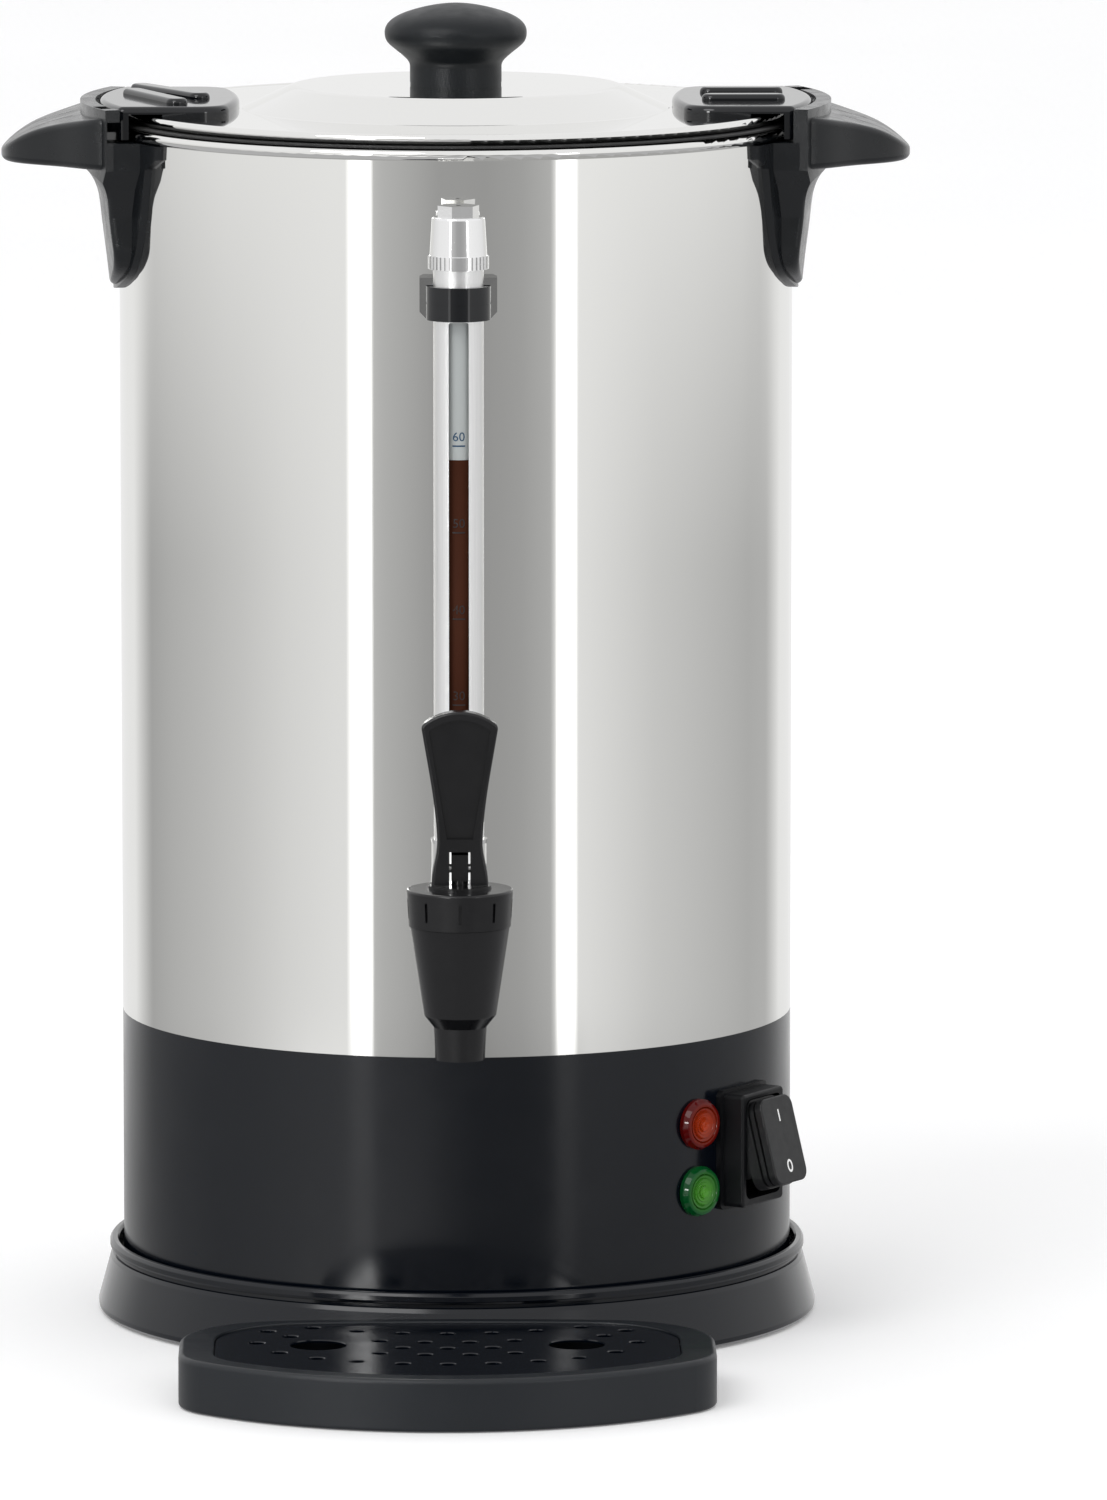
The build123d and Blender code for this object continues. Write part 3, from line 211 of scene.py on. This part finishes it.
# --- finishes -------------------------------------------------------------------------
def metal_finishes():
    steel = Finish("polished_steel", (0.83, 0.828, 0.808), 0.035, 1.0)
    steel.vary_roughness(steel.noise(14.0, (1, 1, 0.3), 4.0), 0.010)
    steel.bump(steel.noise(9.0, (1, 1, 0.35), 1.0), 0.00004)
    steel.bump(steel.noise(2600.0, (1, 1, 0.04), 2.0), 0.0000006)

    satin = Finish("satin_steel", (0.96, 0.96, 0.955), 0.34, 1.0)
    satin.vary_roughness(satin.noise(900.0, (1, 1, 0.02), 3.0), 0.05)
    satin.vary_color(satin.noise(1500.0, (1, 1, 0.015), 3.0), 0.93)

    hardware = Finish("steel_hardware", (0.62, 0.62, 0.61), 0.30, 1.0)
    hardware.vary_roughness(hardware.noise(220.0), 0.08)
    hardware.vary_color(hardware.noise(90.0), 0.86)

    chrome = Finish("chromed_brass", (0.90, 0.90, 0.90), 0.08, 1.0)
    chrome.vary_roughness(chrome.noise(400.0), 0.03)
    chrome.bump(chrome.noise(700.0), 0.00001)

    cast = Finish("aluminium", (0.72, 0.73, 0.74), 0.45, 1.0)
    cast.vary_roughness(cast.noise(300.0), 0.1)
    cast.bump(cast.noise(1200.0), 0.00005)

    sheath = Finish("element_sheath", (0.30, 0.28, 0.26), 0.5, 1.0)
    sheath.vary_color(sheath.noise(60.0), 0.6)
    sheath.vary_roughness(sheath.noise(200.0), 0.1)
    return steel, satin, hardware, chrome, cast, sheath


def handle_and_lid_finishes():
    """Black plastics of the handles, the knob and the lid's lugs, from satin to gloss."""
    handle = Finish("handle_plastic", (0.0040, 0.0052, 0.0066), 0.24, IOR=1.46)
    handle.vary_roughness(handle.noise(160.0), 0.05)
    handle.bump(handle.noise(2200.0, detail=3.0), 0.00003)

    knob = Finish("knob_plastic", (0.0032, 0.0050, 0.0068), 0.42, IOR=1.46, Specular_IOR_Level=0.36)
    knob.vary_roughness(knob.noise(180.0), 0.05)
    knob.bump(knob.noise(1500.0, detail=4.0), 0.00006)

    lug = Finish("lug_plastic", (0.003, 0.0036, 0.0050), 0.07, IOR=1.5)
    lug.vary_roughness(lug.noise(120.0), 0.02)
    lug.bump(lug.noise(90.0, detail=1.0), 0.00002)
    return handle, knob, lug


def tap_and_base_finishes():
    """Black plastics of the tap, the base, the tray and the switch."""
    tap = Finish("tap_plastic", (0.0045, 0.0045, 0.0052), 0.22, IOR=1.46)
    tap.vary_roughness(tap.noise(140.0), 0.04)
    tap.bump(tap.noise(110.0, detail=1.0), 0.00002)

    base = Finish("base_plastic", (0.0010, 0.0024, 0.0055), 0.15, IOR=1.45)
    base.vary_roughness(base.noise(60.0, detail=4.0), 0.04)
    base.bump(base.noise(1500.0), 0.000004)

    tray = Finish("tray_plastic", (0.0075, 0.0098, 0.0132), 0.40, IOR=1.45)
    tray.vary_roughness(tray.noise(90.0, detail=3.0), 0.05)
    tray.bump(tray.noise(2400.0, detail=3.0), 0.00002)

    switch = Finish("switch_plastic", (0.0058, 0.0062, 0.0070), 0.42, IOR=1.46)
    switch.vary_roughness(switch.noise(300.0), 0.06)
    switch.bump(switch.noise(3000.0, detail=3.0), 0.00004)

    housing = Finish("housing_plastic", (0.0042, 0.0046, 0.0056), 0.40, IOR=1.46,
                     Specular_IOR_Level=0.26)
    housing.vary_roughness(housing.noise(260.0), 0.06)
    housing.bump(housing.noise(2800.0, detail=3.0), 0.00004)
    return tap, base, tray, switch, housing


def seal_and_wire_finishes():
    rubber = Finish("black_rubber", (0.010, 0.010, 0.010), 0.62)
    rubber.vary_roughness(rubber.noise(250.0), 0.08)
    rubber.bump(rubber.noise(1800.0), 0.00005)

    silicone = Finish("white_silicone", (0.72, 0.72, 0.69), 0.45)
    silicone.vary_roughness(silicone.noise(260.0), 0.08)
    silicone.vary_color(silicone.noise(80.0), 0.92)

    sleeve = Finish("wire_sleeve", (0.45, 0.035, 0.03), 0.5)
    sleeve.vary_roughness(sleeve.noise(300.0), 0.08)
    sleeve.bump(sleeve.noise(2500.0), 0.00005)
    return rubber, silicone, sleeve


def lamp_finishes():
    """The two coloured lenses, with painted glow in their middles and painted shade at their rims,
    and the pale plastic of the lamps behind them.
    """
    lenses = []
    for name, height in LENS_HEIGHTS.items():
        lens = Finish(name, LENS_GLOWING_MIDDLES[name], 0.07, IOR=1.49, Specular_IOR_Level=0.25)
        lens.vary_roughness(lens.noise(200.0), 0.03)
        # painted glow at the lens's middle and painted shade at its rim
        lens.glow_to_centre(height, LENS_SHADED_RIMS[name], LENS_GLOWING_MIDDLES[name])
        lenses.append(lens)

    lamp = Finish("lamp_plastic", (0.70, 0.68, 0.62), 0.4)
    lamp.vary_roughness(lamp.noise(200.0), 0.06)
    lamp.vary_color(lamp.noise(70.0), 0.93)
    return (*lenses, lamp)


def gauge_finishes():
    glass = Finish("gauge_glass", (0.56, 0.59, 0.585), 0.16, Transmission_Weight=0.25,
                   Specular_IOR_Level=0.3)
    glass.vary_roughness(glass.noise(70.0), 0.03)

    backing = Finish("gauge_backing", (0.66, 0.68, 0.68), 0.5)
    backing.vary_color(backing.noise(90.0, (1, 1, 0.1)), 0.94)

    coffee = Finish("coffee", (0.060, 0.0205, 0.0115), 0.45, Specular_IOR_Level=0.02)
    coffee.vary_color(coffee.noise(60.0, (1, 1, 0.3)), 0.92)
    return glass, backing, coffee


def print_finishes():
    """Inks of the cup marks, above the coffee and in front of it, and of the switch marks."""
    inks = []
    for name, color in (("blue_print", (0.004, 0.055, 0.125)),
                        ("print_on_coffee", (0.016, 0.009, 0.009)),
                        ("white_print", (0.95, 0.95, 0.94))):
        ink = Finish(name, color, 0.5)
        ink.vary_color(ink.noise(2500.0), 0.88)
        inks.append(ink)
    return inks


def floor_finish():
    floor = Finish("floor", FLOOR_COLOR, 0.9)
    floor.vary_color(floor.noise(3.0, detail=3.0), 0.985)
    floor.whiten_for_camera(FLOOR_WHITENING)
    return floor


def make_finishes():
    """Every material of the scene, by its name."""
    every = (*metal_finishes(), *handle_and_lid_finishes(), *tap_and_base_finishes(),
             *seal_and_wire_finishes(), *lamp_finishes(), *gauge_finishes(), *print_finishes(),
             floor_finish())
    return {finish.name: finish.material for finish in every}


# --- pieces ---------------------------------------------------------------------------
def new_object(name, mesh, material, body=None):
    """The mesh as an object of the scene, which rides on a body of the frame if one is named."""
    mesh.materials.clear()
    mesh.materials.append(material)
    obj = bpy.data.objects.new(name, mesh)
    bpy.context.collection.objects.link(obj)
    if body:
        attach(obj, body)
    return obj


def mesh_from(name, work):
    mesh = bpy.data.meshes.new(name)
    work.to_mesh(mesh)
    work.free()
    return mesh


def turned_mesh(name, profile, steps, y):
    """Body turned about a vertical line at y, from (r, z) points that start and end at r = 0."""
    work = bmesh.new()
    rings = []
    for r, z in profile:
        if r == 0.0:
            rings.append([work.verts.new((0.0, y, z))])
        else:
            angles = [2 * math.pi * k / steps for k in range(steps)]
            rings.append([work.verts.new((r * math.cos(a), y + r * math.sin(a), z))
                          for a in angles])
    for low, high in zip(rings, rings[1:]):
        for k in range(steps):
            corners = [low[k % len(low)], low[(k + 1) % len(low)],
                       high[(k + 1) % len(high)], high[k % len(high)]]
            work.faces.new(list(dict.fromkeys(corners)))
    for face in work.faces:
        face.smooth = True
    bmesh.ops.recalc_face_normals(work, faces=work.faces)
    return mesh_from(name, work)


def make_coffee(finishes):
    """The coffee in the gauge, which the glass magnifies to its own full width."""
    dip = 0.0004
    profile = [(0.0, COFFEE_BOTTOM), (COFFEE_R, COFFEE_BOTTOM), (COFFEE_R, COFFEE_TOP),
               (COFFEE_R * 0.85, COFFEE_TOP - dip * 0.6), (0.0, COFFEE_TOP - dip)]
    mesh = turned_mesh("gauge_coffee", profile, 48, GAUGE_Y)
    new_object("gauge_coffee", mesh, finishes["coffee"], "urn")


def make_gauge_backing(finishes):
    """Pale strip down the back of the gauge glass, which the level is read against."""
    strip_r, rows, columns = GLASS_R + BACKING_GAP, 24, 24
    work = bmesh.new()
    grid = []
    for row in range(rows + 1):
        z = BACKING_BOTTOM + (BACKING_TOP - BACKING_BOTTOM) * row / rows
        angles = [math.radians(BACKING_FROM + BACKING_SPREAD * k / columns)
                  for k in range(columns + 1)]
        grid.append([work.verts.new((strip_r * math.cos(a), GAUGE_Y + strip_r * math.sin(a), z))
                     for a in angles])
    for low, high in zip(grid, grid[1:]):
        for k in range(columns):
            work.faces.new((low[k], low[k + 1], high[k + 1], high[k])).smooth = True
    mesh = mesh_from("gauge_backing", work)
    new_object("gauge_backing", mesh, finishes["gauge_backing"], "urn")


def flat_number(text):
    """Mesh of a number, upright in x and y, with the line that it names below it at y = 0."""
    curve = bpy.data.curves.new("number", "FONT")
    curve.body = text
    curve.align_x = "CENTER"
    curve.size = DIGIT_SIZE
    curve.resolution_u = 3
    letters = bpy.data.objects.new("number", curve)
    bpy.context.collection.objects.link(letters)
    bpy.context.view_layer.update()
    mesh = bpy.data.meshes.new_from_object(letters)
    bpy.data.objects.remove(letters)
    work = bmesh.new()
    work.from_mesh(mesh)
    bmesh.ops.translate(work, verts=work.verts, vec=(0, DIGIT_GAP, 0))
    columns = 10
    edge = [[work.verts.new((MARK_HALF_W * (2 * k / columns - 1), y, 0))
             for k in range(columns + 1)] for y in (-MARK_H / 2, MARK_H / 2)]
    for k in range(columns):
        work.faces.new((edge[0][k], edge[0][k + 1], edge[1][k + 1], edge[1][k]))
    return work


def make_cup_marks(finishes):
    """Numbers and lines printed on the glass, wrapped round it."""
    print_r = GLASS_R + PRINT_FILM
    for cups, height in CUP_MARKS:
        work = flat_number(str(cups))
        for v in work.verts:
            angle = v.co.x / print_r
            v.co = (print_r * math.sin(angle), GAUGE_Y - print_r * math.cos(angle),
                    height + v.co.y)
        ink = "blue_print" if height > COFFEE_TOP else "print_on_coffee"
        name = f"cup_mark_{cups}"
        new_object(name, mesh_from(name, work), finishes[ink], "urn")


def rocker_point(across, up, out):
    """A place on the rocker, counted from its pivot along its own tilted face."""
    tilt = math.radians(ROCKER_TILT)
    distance = out * math.cos(tilt) - up * math.sin(tilt)
    height = up * math.cos(tilt) + out * math.sin(tilt)
    x, y = place_at(SWITCH_AZIMUTH, ROCKER_PIVOT_R + distance, across)
    return (x, y, ROCKER_PIVOT_Z + height)


def make_on_mark(finishes):
    """White bar, a film on the rocker's face."""
    film, half_w = ROCKER_FACE + MARK_FILM, STROKE / 2
    bar = [(-half_w, -ON_MARK_HALF_H), (half_w, -ON_MARK_HALF_H),
           (half_w, ON_MARK_HALF_H), (-half_w, ON_MARK_HALF_H)]
    work = bmesh.new()
    work.faces.new([work.verts.new(rocker_point(x, ON_MARK_UP + z, film)) for x, z in bar])
    mesh = mesh_from("switch_on_mark", work)
    new_object("switch_on_mark", mesh, finishes["white_print"], "rocker")


def make_off_mark(finishes):
    """White oval ring, a film on the rocker's face."""
    film, steps = ROCKER_FACE + MARK_FILM, 32
    angles = [2 * math.pi * k / steps for k in range(steps)]
    work = bmesh.new()
    outer, inner = [
        [work.verts.new(rocker_point((OFF_MARK_HALF_W - inset) * math.cos(a),
                                     OFF_MARK_UP + (OFF_MARK_HALF_H - inset) * math.sin(a), film))
         for a in angles]
        for inset in (0.0, STROKE)]
    for k in range(steps):
        following = (k + 1) % steps
        work.faces.new((outer[k], outer[following], inner[following], inner[k]))
    mesh = mesh_from("switch_off_mark", work)
    new_object("switch_off_mark", mesh, finishes["white_print"], "rocker")


# --- studio ---------------------------------------------------------------------------
def ring_of_cards(tree, turn, cards):
    """Radiance by azimuth, as a ramp over a full turn."""
    ramp = tree.nodes.new("ShaderNodeValToRGB")
    elements = ramp.color_ramp.elements
    while len(elements) > 1:
        elements.remove(elements[-1])
    for k, (azimuth, radiance) in enumerate(cards):
        place = (azimuth + 180) / 360
        element = elements[0] if k == 0 else elements.new(place)
        element.position = place
        element.color = (radiance, radiance, radiance, 1.0)
    tree.links.new(turn, ramp.inputs["Fac"])
    return ramp.outputs["Color"]


def math_node(tree, operation, *values):
    """One operation on numbers and sockets."""
    node = add_node(tree, "ShaderNodeMath", operation=operation)
    for socket, value in zip(node.inputs, values):
        if isinstance(value, (int, float)):
            socket.default_value = value
        else:
            tree.links.new(value, socket)
    return node.outputs[0]


def mixed_color(tree, factor, a, b):
    """From a to b as the factor goes from 0 to 1; each is a colour or a socket."""
    node = add_node(tree, "ShaderNodeMix", data_type="RGBA")
    tree.links.new(factor, node.inputs[0])
    for socket, value in ((node.inputs[6], a), (node.inputs[7], b)):
        if isinstance(value, tuple):
            socket.default_value = (*value, 1.0)
        else:
            tree.links.new(value, socket)
    return node.outputs[2]


def between(tree, value, low, high):
    """0 to 1 as the value goes from low to high, either of which may be the greater."""
    node = add_node(tree, "ShaderNodeMapRange", from_min=low, from_max=high)
    tree.links.new(value, node.inputs["Value"])
    return node.outputs["Result"]


def sine(degrees):
    return math.sin(math.radians(degrees))


def make_world():
    """Rings of pale cards, with two bright strips and a grey front, seen by gloss and glass only.

    Matt surfaces are lit by a soft sky, and the camera sees white.
    """
    world = bpy.data.worlds.new("studio")
    world.use_nodes = True
    tree = world.node_tree
    tree.nodes.clear()
    coords = tree.nodes.new("ShaderNodeTexCoord")
    axes = tree.nodes.new("ShaderNodeSeparateXYZ")
    tree.links.new(coords.outputs["Generated"], axes.inputs["Vector"])
    x, y, z = axes.outputs
    azimuth = math_node(tree, "ARCTAN2", x, math_node(tree, "MULTIPLY", y, -1.0))
    turn = math_node(tree, "MULTIPLY_ADD", azimuth, 1 / (2 * math.pi), 0.5 - CAMERA_AZIMUTH / 360)

    cards = ring_of_cards(tree, turn, CARDS_LEVEL)
    for start, end, layer in CARD_LAYERS:
        if layer not in (CEILING, GROUND):
            layer = ring_of_cards(tree, turn, layer)
        cards = mixed_color(tree, between(tree, z, sine(start), sine(end)), cards, layer)

    soft = mixed_color(tree, between(tree, z, SOFT_FROM, SOFT_TO), SOFT_BELOW, SOFT_ABOVE)
    path = tree.nodes.new("ShaderNodeLightPath")
    mirrored = math_node(tree, "MAXIMUM", path.outputs["Is Glossy Ray"],
                         path.outputs["Is Transmission Ray"])
    light = mixed_color(tree, mirrored, soft, cards)
    light = mixed_color(tree, path.outputs["Is Camera Ray"], light, WHITE)
    background = tree.nodes.new("ShaderNodeBackground")
    tree.links.new(light, background.inputs["Color"])
    output = tree.nodes.new("ShaderNodeOutputWorld")
    tree.links.new(background.outputs[0], output.inputs["Surface"])
    bpy.context.scene.world = world


def make_floor(finishes):
    half = FLOOR_HALF
    work = bmesh.new()
    corners = [(-half, -half), (half, -half), (half, half), (-half, half)]
    work.faces.new([work.verts.new((x, y, -FLOOR_DROP)) for x, y in corners])
    floor = new_object("floor", mesh_from("floor", work), finishes["floor"])
    floor.visible_glossy = False


def make_lamp():
    data = bpy.data.lights.new("key", "AREA")
    data.shape = "DISK"
    data.size = KEY_SIZE
    data.energy = KEY_POWER
    lamp = bpy.data.objects.new("key", data)
    lamp.location = KEY_PLACE
    lamp.rotation_euler = (math.radians(KEY_PITCH), 0, math.radians(KEY_TURN))
    bpy.context.collection.objects.link(lamp)


def make_camera():
    data = bpy.data.cameras.new("camera")
    data.lens = CAMERA_LENS
    data.sensor_width = CAMERA_SENSOR
    data.clip_end = 60.0
    camera = bpy.data.objects.new("camera", data)
    camera.location = (*place_at(CAMERA_AZIMUTH, CAMERA_DISTANCE), CAMERA_HEIGHT)
    camera.rotation_euler = (math.radians(90 - CAMERA_PITCH), 0,
                             math.radians(CAMERA_AZIMUTH) - math.radians(CAMERA_YAW))
    bpy.context.collection.objects.link(camera)
    bpy.context.scene.camera = camera


# nodes that are finished apart from the rest of their material slot
OWN_FINISHES = {"drip_tray": "tray_plastic", "lid_knob": "knob_plastic", "knob_ring": "knob_plastic",
                "switch_housing": "housing_plastic"}

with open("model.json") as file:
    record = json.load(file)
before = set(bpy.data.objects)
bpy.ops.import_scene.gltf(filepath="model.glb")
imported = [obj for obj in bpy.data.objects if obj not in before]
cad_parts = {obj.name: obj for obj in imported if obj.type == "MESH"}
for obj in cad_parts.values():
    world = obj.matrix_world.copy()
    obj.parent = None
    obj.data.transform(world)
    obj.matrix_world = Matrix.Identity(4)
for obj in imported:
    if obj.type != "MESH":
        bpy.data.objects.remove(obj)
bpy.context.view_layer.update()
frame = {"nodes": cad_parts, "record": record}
finishes = make_finishes()
for part in frame["record"]["subparts"]:
    for material_slot in frame["nodes"][part["node"]].material_slots:
        material_slot.material = finishes[OWN_FINISHES.get(part["node"], part["material_slot"])]
make_coffee(finishes)
make_gauge_backing(finishes)
make_cup_marks(finishes)
make_on_mark(finishes)
make_off_mark(finishes)
make_world()
make_floor(finishes)
make_lamp()
make_camera()
bpy.context.scene.view_settings.view_transform = "Standard"
